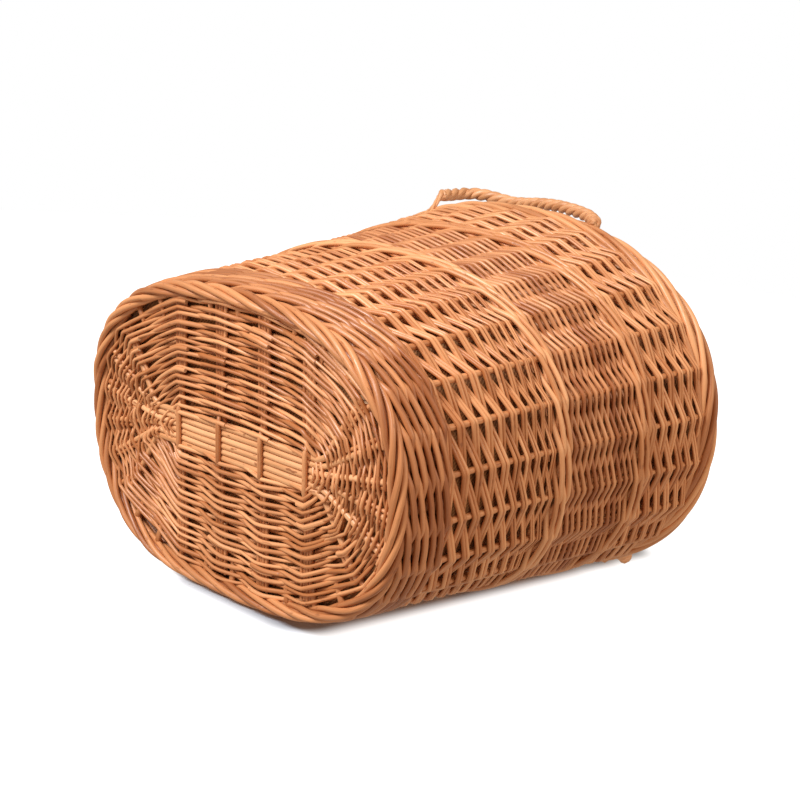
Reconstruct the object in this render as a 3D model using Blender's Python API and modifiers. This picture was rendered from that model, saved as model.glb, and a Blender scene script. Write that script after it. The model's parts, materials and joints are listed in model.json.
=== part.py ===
"""Oval willow knitting basket: base, stakes, siding, waling, border, handles and lining.

Metres, +Z up. The origin is the middle of the base on the surface the basket stands on.
X runs along the oval's long axis. Run with: blender --background --python part.py
"""
import math

import bmesh
import bpy
from mathutils import Vector

# The oval at the foot and at the rim, outer sizes
FOOT_LENGTH = 0.3345
FOOT_WIDTH = 0.2251
RIM_LENGTH = 0.3997
RIM_WIDTH = 0.2933
FOOT_SQUARENESS_SHARE = 2.50
RIM_SQUARENESS_SHARE = 2.27
# Heights up the wall
WALL_HEIGHT = 0.305
UPSETT_HEIGHT = 0.031
LOWER_WALE_HEIGHT = 0.1487
UPPER_WALE_HEIGHT = 0.2290
# Clearance between neighbouring pieces
GAP = 0.0003

# Rods
STAKE_COUNT = 30
STAKE_PHASE_SHARE = 0.0197
STAKE_DIAMETER = 0.0045
SLAT_DIAMETER = 0.0040
WEAVER_THICKNESS = 0.0032

# Base
SLAT_COUNT = 6
SLAT_SPACE = 0.0006
SLAT_FAN_WIDTH = 0.124
CROSS_COUNT = 4
CROSS_SPACING = 0.0458
CROSS_SHIFT = 0.0079
CROSS_WIDTH = 0.0046
CROSS_HALF_THICKNESS = 0.0020
CROSS_SHOULDER = 0.0055
CROSS_TO_SLATH_END = 0.0144
STICK_END_SPACE = 0.0021
BASE_WEAVE_THICKNESS = 0.0028
STAKE_TAIL_LENGTH = 0.0090

# Rings
FOOT_WALE_DIAMETER = 0.0100
WALE_BAND_HEIGHT = 0.0130
WALE_BAND_DEPTH = 0.0045
BORDER_HEIGHT = 0.0190
BORDER_DROP = 0.0035
BORDER_DEPTH = 0.0130
# Rows of rods in each course of the siding, from the lowest course up
LOWER_SIDING_ROWS = (2, 2, 3, 3)
MIDDLE_SIDING_ROWS = (4, 4, 3)
UPPER_SIDING_ROWS = (2, 2, 2)
ROW_FACE_SHARE = 0.4
ROW_GROOVE_SHARE = 0.6
COURSE_GAP = 0.0010

# Handles
HANDLE_DIAMETER = 0.0110
HANDLE_SPAN = 0.1720
HANDLE_SHIFT = 0.0100
HANDLE_RISE = 0.0450
HANDLE_LEG_DROP = 0.0130
# The bow from its high shoulder to its low one: along the half span, up the rise
HANDLE_BOW_SHARES = [(-1.01, -0.10), (-1.05, 0.35), (-1.03, 0.78), (-0.87, 0.96),
                     (-0.49, 1.00), (-0.12, 0.86), (0.23, 0.68), (0.60, 0.45),
                     (0.81, 0.20), (0.95, -0.15)]
HANDLE_FOOT_SHARES = (-0.965, 1.0)

# Cloth bag inside the basket
LINING_THICKNESS = 0.0010

# How finely round forms are divided
RING_SECTIONS = 2 * STAKE_COUNT
FOOT_SIDES = 12
RING_SIDES = 8
OUTLINE_SAMPLES = 1440

WILLOW = {
    "stick": (0.49, 0.26, 0.11),
    "base": (0.50, 0.24, 0.09),
    "stake": (0.55, 0.28, 0.11),
    "siding": (0.54, 0.26, 0.09),
    "dark_siding": (0.46, 0.19, 0.06),
    "wale": (0.58, 0.31, 0.13),
    "handle": (0.60, 0.33, 0.15),
}
WILLOW_ROUGHNESS = 0.55
CLOTH_COLOR = (0.16, 0.115, 0.085)
CLOTH_ROUGHNESS = 0.95

# Sizes that follow from the ones above
FOOT_RADIUS = FOOT_WALE_DIAMETER / 2
STAKE_RADIUS = STAKE_DIAMETER / 2
SLAT_RADIUS = SLAT_DIAMETER / 2
HANDLE_RADIUS = HANDLE_DIAMETER / 2
FOOT_MIDDLE = FOOT_RADIUS * math.cos(math.pi / 6)
RIM_MIDDLE = FOOT_MIDDLE + WALL_HEIGHT
STAKE_INSET = WEAVER_THICKNESS + STAKE_RADIUS
WAVE_OFFSET = STAKE_RADIUS + GAP + WEAVER_THICKNESS / 2
FOOT_TOP = FOOT_MIDDLE + FOOT_RADIUS
UPSETT_TOP = FOOT_TOP + GAP + UPSETT_HEIGHT
BORDER_MIDDLE = RIM_MIDDLE - BORDER_DROP
BORDER_BOTTOM = BORDER_MIDDLE - BORDER_HEIGHT / 2
UNDER_WEAVE_TOP = FOOT_MIDDLE + BASE_WEAVE_THICKNESS / 2
STICK_LAYER = max(STAKE_DIAMETER, SLAT_DIAMETER)
STICK_LEVEL = UNDER_WEAVE_TOP + GAP + STICK_LAYER / 2
OVER_WEAVE_BOTTOM = STICK_LEVEL + STICK_LAYER / 2 + GAP
SLAT_PITCH = SLAT_DIAMETER + SLAT_SPACE
SLAT_STRAIGHT = (CROSS_COUNT - 1) * CROSS_SPACING + 2 * (CROSS_SHIFT + CROSS_TO_SLATH_END)
STAKE_TURN = FOOT_RADIUS + STAKE_RADIUS + 2 * GAP
STAKE_TURN_INSET = FOOT_RADIUS + STAKE_TURN
STAKE_TAIL_INSET = STAKE_TURN_INSET + STAKE_TAIL_LENGTH
STICK_EDGE_INSET = STAKE_TAIL_INSET + STICK_END_SPACE


def clear_scene():
    for old in list(bpy.data.objects):
        bpy.data.objects.remove(old, do_unlink=True)


def make_material(name, color, roughness):
    material = bpy.data.materials.new(name)
    material.use_nodes = True
    shader = material.node_tree.nodes["Principled BSDF"]
    shader.inputs["Base Color"].default_value = (*color, 1.0)
    shader.inputs["Roughness"].default_value = roughness
    shader.inputs["Metallic"].default_value = 0.0
    return material


def sample_outline(length, width, squareness):
    """Points round a superellipse and the share of its perimeter that each lies at."""
    points = []
    for step in range(OUTLINE_SAMPLES + 1):
        angle = math.tau * step / OUTLINE_SAMPLES
        cosine, sine = math.cos(angle), math.sin(angle)
        x = length / 2 * math.copysign(abs(cosine) ** (2 / squareness), cosine)
        y = width / 2 * math.copysign(abs(sine) ** (2 / squareness), sine)
        points.append(Vector((x, y)))
    run = [0.0]
    for before, after in zip(points, points[1:]):
        run.append(run[-1] + (after - before).length)
    shares = [distance / run[-1] for distance in run]
    return points, shares


FOOT_OUTLINE = sample_outline(FOOT_LENGTH, FOOT_WIDTH, FOOT_SQUARENESS_SHARE)
RIM_OUTLINE = sample_outline(RIM_LENGTH, RIM_WIDTH, RIM_SQUARENESS_SHARE)


def outline_point(outline, share):
    """The outline's point at a share of its perimeter."""
    points, shares = outline
    share = share % 1.0
    low, high = 0, len(shares) - 1
    while high - low > 1:
        middle = (low + high) // 2
        if shares[middle] <= share:
            low = middle
        else:
            high = middle
    part = (share - shares[low]) / (shares[high] - shares[low])
    return points[low].lerp(points[high], part)


def wall_point(share, height, inset=0.0):
    """A point of the wall's outer face, moved inwards level by the inset."""
    rise = (height - FOOT_MIDDLE) / WALL_HEIGHT
    step = 1 / OUTLINE_SAMPLES

    def level(at):
        return outline_point(FOOT_OUTLINE, at).lerp(outline_point(RIM_OUTLINE, at), rise)

    ahead = level(share + step) - level(share - step)
    outward = Vector((ahead.y, -ahead.x)).normalized()
    flat = level(share) - outward * inset
    return Vector((flat.x, flat.y, height))


def stake_share(number):
    return number / STAKE_COUNT + STAKE_PHASE_SHARE


def add_part(name, data, material, parts):
    part = bpy.data.objects.new(name, data)
    parts.objects.link(part)
    data.materials.clear()
    data.materials.append(material)
    return part


def rod(name, points, radius, resolution, material, parts):
    """A round rod through the points, with closed ends."""
    curve = bpy.data.curves.new(name, "CURVE")
    curve.dimensions = "3D"
    curve.bevel_depth = radius
    curve.bevel_resolution = resolution
    curve.use_fill_caps = True
    spline = curve.splines.new("POLY")
    spline.points.add(len(points) - 1)
    for target, point in zip(spline.points, points):
        target.co = (*point, 1.0)
        target.radius = 1.0
    spline.use_smooth = True
    return add_part(name, curve, material, parts)


def flat_plate(name, outlines, thickness, material, parts):
    """A level plate between closed outlines; the first is its edge and the rest are openings."""
    curve = bpy.data.curves.new(name, "CURVE")
    curve.dimensions = "2D"
    curve.fill_mode = "BOTH"
    curve.extrude = thickness / 2
    for outline in outlines:
        spline = curve.splines.new("POLY")
        spline.use_cyclic_u = True
        spline.points.add(len(outline) - 1)
        for target, point in zip(spline.points, outline):
            target.co = (point[0], point[1], 0.0, 1.0)
    return add_part(name, curve, material, parts)


def shape_ring(name, mesh_maker, place, material, parts):
    """Takes a primitive ring and moves each of its points to its place on the basket."""
    mesh_maker()
    ring = bpy.context.active_object
    ring.name = name
    ring.data.name = name
    for home in list(ring.users_collection):
        home.objects.unlink(ring)
    parts.objects.link(ring)
    for vertex in ring.data.vertices:
        vertex.co = place(vertex.co.copy())
    ring.data.materials.clear()
    ring.data.materials.append(material)
    return ring


def rope_ring(name, middle, inset, half_depth, half_height, sides, material, parts):
    """A closed ring round the wall with an oval section, cut flat where it meets the floor."""
    unit_tube = 0.25

    def maker():
        bpy.ops.mesh.primitive_torus_add(major_segments=RING_SECTIONS, minor_segments=sides,
                                         major_radius=1.0, minor_radius=unit_tube)

    def place(corner):
        share = math.atan2(corner.y, corner.x) / math.tau + STAKE_PHASE_SHARE
        outwards = (math.hypot(corner.x, corner.y) - 1.0) / unit_tube
        upwards = corner.z / unit_tube
        height = max(middle + half_height * upwards, 0.0)
        return wall_point(share, height, inset - half_depth * outwards)

    ring = shape_ring(name, maker, place, material, parts)
    ring.data.shade_smooth()
    return ring


def beside_stake(corner):
    """The nearest stake to a corner of a ring with two corners a stake, and the corner's share."""
    flat_share = 1 / 8
    turn_share = math.atan2(corner.y, corner.x) / math.tau
    number = round(turn_share * RING_SECTIONS) % RING_SECTIONS
    stake, late = divmod(number, RING_SECTIONS // STAKE_COUNT)
    return stake, stake_share(stake + (flat_share if late else -flat_share))


def course_section(bottom, top, rows):
    """Corners of a course's section, as distance outwards and height: a ridge for each row."""
    half = WEAVER_THICKNESS / 2
    groove = half - ROW_GROOVE_SHARE * WEAVER_THICKNESS
    row_height = (top - bottom) / rows
    half_face = ROW_FACE_SHARE * row_height / 2
    corners = [(groove, bottom)]
    for row in range(rows):
        middle = bottom + (row + 0.5) * row_height
        corners.append((half, middle - half_face))
        corners.append((half, middle + half_face))
        corners.append((groove, bottom + (row + 1) * row_height))
    corners.append((-half, top))
    corners.append((-half, bottom))
    return corners


def woven_course(name, bottom, top, rows, front_side, material, parts):
    """A band of rows that runs outside one stake and inside the next."""
    section = course_section(bottom, top, rows)
    unit_tube = 0.25

    def maker():
        bpy.ops.mesh.primitive_torus_add(major_segments=RING_SECTIONS,
                                         minor_segments=len(section),
                                         major_radius=1.0, minor_radius=unit_tube)

    def place(corner):
        stake, share = beside_stake(corner)
        side = 1 if (stake % 2 == 0) == front_side else -1
        turn_share = math.atan2(corner.z, math.hypot(corner.x, corner.y) - 1.0) / math.tau
        outwards, height = section[round(turn_share * len(section)) % len(section)]
        return wall_point(share, height, STAKE_INSET - side * WAVE_OFFSET - outwards)

    return shape_ring(name, maker, place, material, parts)


def outer_band(name, bottom, top, thickness, material, parts):
    """A band that lies against the outside of the stakes."""
    inset = STAKE_INSET - STAKE_RADIUS - GAP - thickness / 2

    def maker():
        bpy.ops.mesh.primitive_cylinder_add(vertices=RING_SECTIONS, end_fill_type="NOTHING")

    def place(corner):
        share = math.atan2(corner.y, corner.x) / math.tau + STAKE_PHASE_SHARE
        return wall_point(share, top if corner.z > 0 else bottom, inset)

    band = shape_ring(name, maker, place, material, parts)
    wall = band.modifiers.new("band_thickness", "SOLIDIFY")
    wall.thickness = thickness
    wall.offset = 0.0
    return band


def base_reach(across, size_across, size_along):
    """How far a base stick reaches from the middle, at a distance to one side of it."""
    half_across = size_across / 2 - STICK_EDGE_INSET
    half_along = size_along / 2 - STICK_EDGE_INSET
    share = 1 - abs(across / half_across) ** FOOT_SQUARENESS_SHARE
    return half_along * share ** (1 / FOOT_SQUARENESS_SHARE)


def build_slats(finish, parts):
    """Long sticks side by side along the base, spread like a fan at both ends."""
    for number in range(SLAT_COUNT):
        across_share = number / (SLAT_COUNT - 1) - 0.5
        y_middle = across_share * SLAT_PITCH * (SLAT_COUNT - 1)
        y_end = across_share * SLAT_FAN_WIDTH
        x_end = base_reach(y_end, FOOT_WIDTH, FOOT_LENGTH)
        points = [(-x_end, y_end), (-SLAT_STRAIGHT / 2, y_middle),
                  (SLAT_STRAIGHT / 2, y_middle), (x_end, y_end)]
        path = [(x, y, STICK_LEVEL) for x, y in points]
        rod(f"base_slat_{number + 1}", path, SLAT_RADIUS, 2, finish, parts)


def slat_group_half_width():
    return ((SLAT_COUNT - 1) * SLAT_PITCH + SLAT_DIAMETER) / 2


def build_cross_sticks(finish, parts):
    """Sticks across the base, split in the middle so that the slats pass through them."""
    window = slat_group_half_width() + GAP
    shoulder = window + CROSS_SHOULDER
    window_top = SLAT_RADIUS + GAP
    split_top = window_top + CROSS_HALF_THICKNESS
    for number in range(CROSS_COUNT):
        x = CROSS_SHIFT + (number - (CROSS_COUNT - 1) / 2) * CROSS_SPACING
        tip = base_reach(x, FOOT_LENGTH, FOOT_WIDTH)
        outer = [(-tip, -SLAT_RADIUS), (-shoulder, -SLAT_RADIUS), (-window, -split_top),
                 (window, -split_top), (shoulder, -SLAT_RADIUS), (tip, -SLAT_RADIUS),
                 (tip, SLAT_RADIUS), (shoulder, SLAT_RADIUS), (window, split_top),
                 (-window, split_top), (-shoulder, SLAT_RADIUS), (-tip, SLAT_RADIUS)]
        slot = [(-window, -window_top), (window, -window_top),
                (window, window_top), (-window, window_top)]
        stick = flat_plate(f"base_cross_stick_{number + 1}", [outer, slot], CROSS_WIDTH,
                           finish, parts)
        stick.rotation_euler = (math.pi / 2, 0.0, math.pi / 2)
        stick.location = (x, 0.0, STICK_LEVEL)


def slath_opening():
    """The oval opening in the weaving where the slats and the cross sticks show."""
    half_width = slat_group_half_width() + GAP + CROSS_SHOULDER + GAP
    centre = SLAT_STRAIGHT / 2 - half_width
    corners = 8
    outline = []
    for side in (1, -1):
        for step in range(corners + 1):
            angle = math.pi * (step / corners - 0.5)
            x = side * (centre + half_width * math.cos(angle))
            y = side * half_width * math.sin(angle)
            outline.append((x, y))
    return outline


def build_base_weave(finish, parts):
    """Plates of weaving below and above the base sticks."""
    shares = [number / RING_SECTIONS + STAKE_PHASE_SHARE for number in range(RING_SECTIONS)]
    under_edge = [wall_point(share, FOOT_MIDDLE, FOOT_WALE_DIAMETER + GAP) for share in shares]
    over_inset = STAKE_TURN_INSET + STAKE_RADIUS
    over_edge = [wall_point(share, FOOT_MIDDLE, over_inset) for share in shares]
    opening = slath_opening()
    under = flat_plate("base_weave_under", [under_edge, opening], BASE_WEAVE_THICKNESS,
                       finish, parts)
    under.location.z = FOOT_MIDDLE
    over = flat_plate("base_weave_over", [over_edge, opening], BASE_WEAVE_THICKNESS,
                      finish, parts)
    over.location.z = OVER_WEAVE_BOTTOM + BASE_WEAVE_THICKNESS / 2


def build_stakes(finish, parts):
    """Uprights whose butts turn in between the two layers of the base weaving."""
    knee = STAKE_TURN * math.tan(math.pi / 8)
    rise = FOOT_MIDDLE + STAKE_TURN
    for number in range(STAKE_COUNT):
        share = stake_share(number)
        path = [wall_point(share, STICK_LEVEL, STAKE_TAIL_INSET),
                wall_point(share, STICK_LEVEL, STAKE_TURN_INSET),
                wall_point(share, rise, FOOT_RADIUS + knee),
                wall_point(share, rise + knee, STAKE_INSET),
                wall_point(share, BORDER_BOTTOM - GAP, STAKE_INSET)]
        rod(f"stake_{number + 1:02d}", path, STAKE_RADIUS, 1, finish, parts)


def build_siding(name, bottom, top, course_rows, finish, parts):
    """Woven bands one above the other, each passing the stakes on the other side."""
    pitch = (top - bottom + COURSE_GAP) / len(course_rows)
    for number, rows in enumerate(course_rows):
        low = bottom + number * pitch
        woven_course(f"{name}_{number + 1}", low, low + pitch - COURSE_GAP, rows,
                     number % 2 == 0, finish, parts)


def wale_inset():
    return STAKE_INSET - STAKE_RADIUS - GAP - WALE_BAND_DEPTH / 2


def build_wall(finishes, parts):
    half_band = WALE_BAND_HEIGHT / 2
    outer_band("upsett_wale", FOOT_TOP + GAP, UPSETT_TOP, WEAVER_THICKNESS,
               finishes["wale"], parts)
    build_siding("lower_siding", UPSETT_TOP + COURSE_GAP,
                 LOWER_WALE_HEIGHT - half_band - COURSE_GAP,
                 LOWER_SIDING_ROWS, finishes["siding"], parts)
    rope_ring("lower_wale", LOWER_WALE_HEIGHT, wale_inset(), WALE_BAND_DEPTH / 2, half_band,
              RING_SIDES, finishes["wale"], parts)
    build_siding("middle_siding", LOWER_WALE_HEIGHT + half_band + COURSE_GAP,
                 UPPER_WALE_HEIGHT - half_band - COURSE_GAP, MIDDLE_SIDING_ROWS,
                 finishes["dark_siding"], parts)
    rope_ring("upper_wale", UPPER_WALE_HEIGHT, wale_inset(), WALE_BAND_DEPTH / 2, half_band,
              RING_SIDES, finishes["wale"], parts)
    build_siding("upper_siding", UPPER_WALE_HEIGHT + half_band + COURSE_GAP,
                 BORDER_BOTTOM - COURSE_GAP, UPPER_SIDING_ROWS, finishes["siding"], parts)
    rope_ring("border", BORDER_MIDDLE, BORDER_DEPTH / 2, BORDER_DEPTH / 2, BORDER_HEIGHT / 2,
              RING_SIDES, finishes["wale"], parts)


def build_lining(finish, parts):
    """A cloth bag behind the weaving, on the base, open at the top under the border."""
    inset = STAKE_INSET + WAVE_OFFSET + (WEAVER_THICKNESS + LINING_THICKNESS) / 2 + GAP
    bottom = OVER_WEAVE_BOTTOM + BASE_WEAVE_THICKNESS + GAP + LINING_THICKNESS / 2
    top = BORDER_BOTTOM - GAP

    def maker():
        bpy.ops.mesh.primitive_cylinder_add(vertices=RING_SECTIONS, end_fill_type="NGON")

    def place(corner):
        return wall_point(beside_stake(corner)[1], top if corner.z > 0 else bottom, inset)

    lining = shape_ring("lining", maker, place, finish, parts)
    bag = bmesh.new()
    bag.from_mesh(lining.data)
    mouth = [face for face in bag.faces if face.calc_center_median().z > top - GAP]
    bmesh.ops.delete(bag, geom=mouth, context="FACES_ONLY")
    bag.to_mesh(lining.data)
    bag.free()
    cloth = lining.modifiers.new("cloth_thickness", "SOLIDIFY")
    cloth.thickness = LINING_THICKNESS
    cloth.offset = 0.0
    cloth.use_even_offset = True


def smooth_path(points, steps):
    """Points of a smooth curve through the given ones."""
    path = []
    last = len(points) - 1
    for number in range(last):
        before = points[max(number - 1, 0)]
        start, end = points[number], points[number + 1]
        after = points[min(number + 2, last)]
        for step in range(steps):
            t = step / steps
            path.append(((2 * start) + (end - before) * t
                         + (2 * before - 5 * start + 4 * end - after) * t ** 2
                         + (3 * start - before - 3 * end + after) * t ** 3) / 2)
    path.append(points[last])
    return path


def wall_width_at(x, height):
    """How far out the wall's outer face is, in Y, at a place along the basket."""
    share = 0.25
    for _ in range(12):
        share += (wall_point(share, height).x - x) / (2 * (RIM_LENGTH + RIM_WIDTH))
    return wall_point(share, height).y


def build_handle(name, side, finish, parts):
    """A bow of twisted rods: its legs lie on the wall and its low shoulder on the border."""
    half_span = HANDLE_SPAN / 2
    seat = GAP + HANDLE_RADIUS
    rim_top = BORDER_MIDDLE + BORDER_HEIGHT / 2
    foot_height = BORDER_BOTTOM - HANDLE_LEG_DROP
    siding_bulge = WAVE_OFFSET + WEAVER_THICKNESS / 2 - STAKE_INSET
    low_shoulder_x = HANDLE_BOW_SHARES[-1][0] * half_span - HANDLE_SHIFT
    bow_y = wall_width_at(low_shoulder_x, BORDER_MIDDLE) + seat
    bow = [Vector((along * half_span - HANDLE_SHIFT, bow_y, rim_top + HANDLE_RISE * lift))
           for along, lift in HANDLE_BOW_SHARES]
    feet = []
    for along in HANDLE_FOOT_SHARES:
        x = along * half_span - HANDLE_SHIFT
        y = wall_width_at(x, foot_height) + siding_bulge + seat
        feet.append(Vector((x, y, foot_height)))
    path = smooth_path([feet[0], *bow, feet[1]], 2)
    placed = [(-side * point.x, side * point.y, point.z) for point in path]
    rod(name, placed, HANDLE_RADIUS, 2, finish, parts)


def main():
    clear_scene()
    parts = bpy.data.collections.new("knitting_basket")
    bpy.context.scene.collection.children.link(parts)
    finishes = {name: make_material(f"willow_{name}", color, WILLOW_ROUGHNESS)
                for name, color in WILLOW.items()}
    build_slats(finishes["stick"], parts)
    build_cross_sticks(finishes["stick"], parts)
    build_base_weave(finishes["base"], parts)
    rope_ring("foot_wale", FOOT_MIDDLE, FOOT_RADIUS, FOOT_RADIUS, FOOT_RADIUS, FOOT_SIDES,
              finishes["wale"], parts)
    build_stakes(finishes["stake"], parts)
    build_wall(finishes, parts)
    build_handle("handle_front", -1, finishes["handle"], parts)
    build_handle("handle_back", 1, finishes["handle"], parts)
    build_lining(make_material("cloth", CLOTH_COLOR, CLOTH_ROUGHNESS), parts)


main()
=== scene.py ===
import json
import math
import random

import bpy
import numpy as np
from mathutils import Matrix, Vector

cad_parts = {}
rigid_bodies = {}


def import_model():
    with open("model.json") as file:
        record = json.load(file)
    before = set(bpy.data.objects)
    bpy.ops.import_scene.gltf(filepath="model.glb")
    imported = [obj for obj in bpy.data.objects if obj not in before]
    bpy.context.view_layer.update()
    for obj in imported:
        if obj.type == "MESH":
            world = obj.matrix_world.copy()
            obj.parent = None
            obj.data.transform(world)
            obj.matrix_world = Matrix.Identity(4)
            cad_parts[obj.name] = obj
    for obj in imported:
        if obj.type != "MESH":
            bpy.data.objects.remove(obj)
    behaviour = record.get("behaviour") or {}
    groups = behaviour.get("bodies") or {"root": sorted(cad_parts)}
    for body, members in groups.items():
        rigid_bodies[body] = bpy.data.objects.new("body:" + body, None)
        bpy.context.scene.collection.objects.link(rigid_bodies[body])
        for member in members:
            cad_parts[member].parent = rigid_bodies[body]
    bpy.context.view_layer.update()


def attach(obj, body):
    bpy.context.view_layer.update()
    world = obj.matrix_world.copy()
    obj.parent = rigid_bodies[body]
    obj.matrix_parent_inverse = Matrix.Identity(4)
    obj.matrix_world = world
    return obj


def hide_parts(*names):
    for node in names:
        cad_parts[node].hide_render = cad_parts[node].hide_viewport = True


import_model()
bpy.ops.object.select_all(action="DESELECT")
scene = bpy.context.scene
print("stage: frame loaded")

# The basket's main shape, in metres
basket = {
    "foot": (0.3345, 0.2251, 2.50),  # length, width, squareness
    "rim": (0.3997, 0.2933, 2.27),
    "footLevel": 0.00433,
    "wallHeight": 0.305,
    "stakes": 30,
    "stakePhase": 0.0197,
    "stakeInset": 0.00545,
    "stakeRadius": 0.00225,
    "stickLevel": 0.00828,
    "samples": 1440,
}


def squared(value, power):
    return np.sign(value) * np.abs(value) ** power


def between(first, last, part):
    return first * (1 - part) + last * part


def runAlong(points):
    return np.concatenate([[0.0], np.cumsum(np.linalg.norm(np.diff(points, axis=0), axis=1))])


def traceOutline(length, width, squareness):
    angle = np.linspace(0.0, math.tau, basket["samples"] + 1)
    x = length / 2 * squared(np.cos(angle), 2 / squareness)
    y = width / 2 * squared(np.sin(angle), 2 / squareness)
    run = runAlong(np.column_stack([x, y]))
    return run / run[-1], x, y


footLine = traceOutline(*basket["foot"])
rimLine = traceOutline(*basket["rim"])


def levelPoint(share, height):
    rise = (height - basket["footLevel"]) / basket["wallHeight"]
    flat = []
    for axis in (1, 2):
        low = np.interp(share % 1.0, footLine[0], footLine[axis])
        high = np.interp(share % 1.0, rimLine[0], rimLine[axis])
        flat.append(between(low, high, rise))
    return np.stack(flat, -1)


# Hand-made bulges: place round the wall, its spread, levels from and to, amount
swells = [(0.358, 0.042, 0.095, 0.020, 0.0062), (0.715, 0.090, 0.215, 0.300, 0.0041)]


def swellAt(share, height):
    total = 0.0
    for centre, spread, start, full, amount in swells:
        away = ((np.asarray(share) - centre + 0.5) % 1.0 - 0.5) / spread
        rise = np.clip((np.asarray(height) - start) / (full - start), 0, 1)
        total = total + amount * np.exp(-away * away / 2) * rise * rise * (3 - 2 * rise)
    return total


def onWall(share, height, inset):
    # the wall's outer face moved inwards, and the level direction out of it
    share, height = np.broadcast_arrays(np.asarray(share, float), np.asarray(height, float))
    step = 2 / basket["samples"]
    ahead = levelPoint(share + step, height) - levelPoint(share - step, height)
    out = np.stack([ahead[..., 1], -ahead[..., 0]], -1)
    out /= np.linalg.norm(out, axis=-1, keepdims=True)
    inset = np.asarray(inset) - swellAt(share, height)
    flat = levelPoint(share, height) - out * inset[..., None]
    return flat, out


def stakeShare(place):
    return np.asarray(place, float) / basket["stakes"] + basket["stakePhase"]


def besideStakes(place, height, out):
    # rods run straight from stake to stake, so the ring is a polygon with a corner at each stake
    place = np.asarray(place, float)
    low = np.floor(place)
    part = (place - low)[:, None]
    here, outHere = onWall(stakeShare(low), height, basket["stakeInset"])
    after, outAfter = onWall(stakeShare(low + 1), height, basket["stakeInset"])
    flat, away = between(here, after, part), between(outHere, outAfter, part)
    away /= np.linalg.norm(away, axis=1, keepdims=True)
    return np.column_stack([flat + away * np.asarray(out)[:, None], height])


# Willow: every rod is a bevelled curve, turned to a mesh and joined to its piece
rodPlan = {
    "steps": (0.0, 0.06, 0.16, 0.33, 0.5, 0.67, 0.84, 0.94),  # points from stake to stake
    "leastStep": 0.01, "octaves": (1.0, 2.3), "calm": 1.5, "swing": 0.993,
    "lotRun": 7.0, "weld": 1e-6, "smoothAngle": 1.2,
}


def stepAlong(first, last, steps=rodPlan["steps"]):
    whole = np.arange(math.floor(first) - 1, math.ceil(last) + 1)
    place = (whole[:, None] + np.array(steps)).ravel()
    least = rodPlan["leastStep"]
    place = place[(place > first + least) & (place < last - least)]
    return np.concatenate([[first], place, [last]])


def wobble(place, dice, period, amount=1.0):
    # a slow hand-made waver to both sides
    total = np.zeros(len(place))
    for octave in rodPlan["octaves"]:
        total += np.sin(place / period * math.tau * octave + dice.uniform(0, math.tau)) / octave
    return total / rodPlan["calm"] * amount


def passStakes(place, strand):
    # from 1 outside a stake to -1 inside the next
    swing = rodPlan["swing"]
    return np.arcsin(swing * np.cos(np.pi * (place - strand))) / math.asin(swing)


def tuckEnd(past, span, depth):
    # how far a rod's end is tucked in where it runs on past its last stake
    return depth * np.clip(past / span, 0, 1)


def drawRod(points, radii, sides):
    curve = bpy.data.curves.new("rod", "CURVE")
    curve.dimensions = "3D"
    curve.bevel_depth = 1.0
    curve.bevel_resolution = (sides - 4) // 2
    curve.use_fill_caps = True
    spline = curve.splines.new("POLY")
    spline.points.add(len(points) - 1)
    spline.points.foreach_set("co", np.column_stack([points, np.ones(len(points))]).ravel())
    spline.points.foreach_set("radius", np.asarray(radii, float))
    rod = bpy.data.objects.new("rod", curve)
    scene.collection.objects.link(rod)
    return rod


def addVectors(mesh, name, rows):
    mesh.attributes.new(name, "FLOAT_VECTOR", "POINT").data.foreach_set(
        "vector", rows.astype(np.float32).ravel())


def markRod(rod, points, radii, sides, tone, lot):
    # grain runs along the rod: two lengths across it, then the run from its butt
    count = len(points)
    run = runAlong(points)
    ring = np.concatenate([np.full(sides, count - 1), np.zeros(sides, int),
                           np.repeat(np.arange(count), sides)])
    turn = np.tile(np.arange(sides), count + 2) * math.tau / sides
    radii = np.asarray(radii, float)[ring]
    along = run[ring] + lot * rodPlan["lotRun"]
    addVectors(rod.data, "grain",
               np.column_stack([radii * np.cos(turn), radii * np.sin(turn), along]))
    rod.data.attributes.new("rodTone", "FLOAT", "POINT").data.foreach_set(
        "value", np.full(len(ring), tone, np.float32))


def bindRods(name, rods, finish, dice, sides=8):
    drawn = [drawRod(points, radii, sides) for points, radii in rods]
    bpy.ops.object.select_all(action="DESELECT")
    for rod in drawn:
        rod.select_set(True)
    bpy.context.view_layer.objects.active = drawn[0]
    bpy.ops.object.convert(target="MESH")
    drawn = sorted(bpy.context.selected_objects, key=lambda rod: rod.name)
    for rod, (points, radii) in zip(drawn, rods):
        markRod(rod, points, radii, sides, dice.random(), dice.random())
        rod.data.materials.clear()
        rod.data.materials.append(finish)
        rod.data.materials.append(willows["Cut"])
        corners = np.empty(len(rod.data.polygons), np.int32)
        rod.data.polygons.foreach_get("loop_total", corners)
        rod.data.polygons.foreach_set("material_index", (corners == 3).astype(np.int32))
    bpy.context.view_layer.objects.active = drawn[0]
    bpy.ops.object.join()
    piece = bpy.context.view_layer.objects.active
    piece.name = name
    piece.data.name = name
    bpy.ops.object.mode_set(mode="EDIT")
    bpy.ops.mesh.select_all(action="SELECT")
    bpy.ops.mesh.remove_doubles(threshold=rodPlan["weld"])
    bpy.ops.object.mode_set(mode="OBJECT")
    bpy.ops.object.shade_smooth_by_angle(angle=rodPlan["smoothAngle"])
    bpy.ops.object.select_all(action="DESELECT")
    print("stage:", name, len(piece.data.polygons), "faces")
    return piece


# Finishes
def feed(tree, node, inputs):
    # each input is linked to a socket or given its value
    for name, value in inputs.items():
        if isinstance(value, bpy.types.NodeSocket):
            tree.links.new(value, node.inputs[name])
        else:
            node.inputs[name].default_value = value
    return node


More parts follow.
